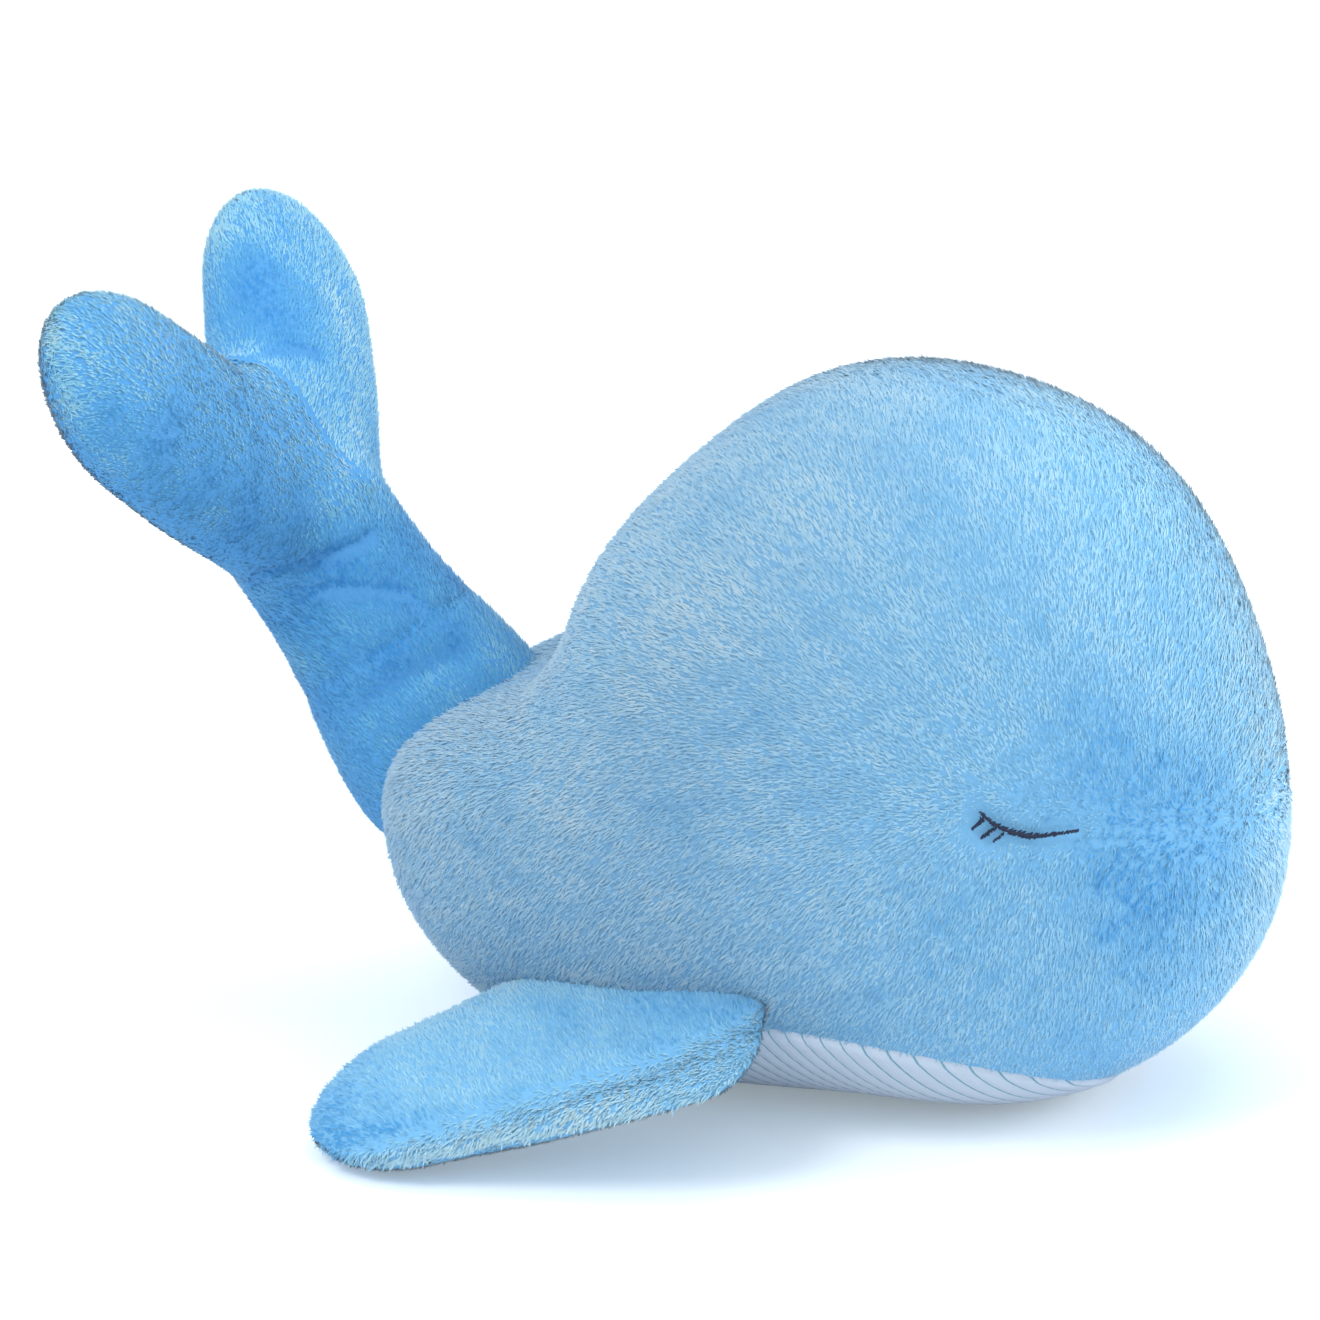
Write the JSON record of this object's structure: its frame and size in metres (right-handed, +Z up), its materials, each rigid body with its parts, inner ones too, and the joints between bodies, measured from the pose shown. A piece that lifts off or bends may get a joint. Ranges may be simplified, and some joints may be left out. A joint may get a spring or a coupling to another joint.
{
  "type": "plush whale",
  "caption": "Stuffed plush whale with a domed head, striped cotton belly, stitched closed eyes, flapping side fins and an upturned tail with rounded flukes.",
  "frame": {"origin": "on the floor, on the flat patch of belly that the whale rests on, below the centre of its body", "axes": "+X to the nose, +Y to the whale's left, +Z up"},
  "size_m": [0.3072, 0.2582, 0.1964],
  "materials": {
    "light_blue_plush": "short soft pile",
    "deep_blue_plush": "short soft pile",
    "striped_cotton": "smooth jersey with thin aqua stripes",
    "polyester_fibre": "loose fibre",
    "navy_thread": "satin stitch"
  },
  "bodies": {
    "body": {"right_side_panel": "light_blue_plush", "left_side_panel": "light_blue_plush", "belly_panel": "striped_cotton", "right_eye": "navy_thread", "left_eye": "navy_thread", "body_filling": "polyester_fibre"},
    "tail": {"tail_right_panel": "deep_blue_plush", "tail_left_panel": "deep_blue_plush", "tail_filling": "polyester_fibre"},
    "flukes": {"right_fluke_front_panel": "light_blue_plush", "right_fluke_back_panel": "light_blue_plush", "right_fluke_filling": "polyester_fibre", "left_fluke_front_panel": "light_blue_plush", "left_fluke_back_panel": "light_blue_plush", "left_fluke_filling": "polyester_fibre"},
    "fin_right": {"right_fin_upper_panel": "light_blue_plush", "right_fin_lower_panel": "light_blue_plush", "right_fin_filling": "polyester_fibre"},
    "fin_left": {"left_fin_upper_panel": "light_blue_plush", "left_fin_lower_panel": "light_blue_plush", "left_fin_filling": "polyester_fibre"}
  },
  "joints": [
    {"name": "tail_bend", "type": "hinge", "parent": "body", "child": "tail", "pos_m": [-0.103, 0, 0.07], "axis": [0, 1, 0], "range_deg": [-12, 15], "stiffness_Nm_per_rad": 0.4},
    {"name": "fluke_fold", "type": "hinge", "parent": "tail", "child": "flukes", "pos_m": [-0.14363, 0, 0.12353], "axis": [0, 1, 0], "range_deg": [-20, 25], "stiffness_Nm_per_rad": 0.2},
    {"name": "fin_right_flap", "type": "hinge", "parent": "body", "child": "fin_right", "pos_m": [-0.0155, -0.0764, 0.0345], "axis": [-0.9997, 0.0262, 0], "range_deg": [-10, 40], "stiffness_Nm_per_rad": 0.12},
    {"name": "fin_left_flap", "type": "hinge", "parent": "body", "child": "fin_left", "pos_m": [-0.0155, 0.0764, 0.0345], "axis": [0.9997, 0.0262, 0], "range_deg": [-10, 40], "stiffness_Nm_per_rad": 0.12}
  ]
}
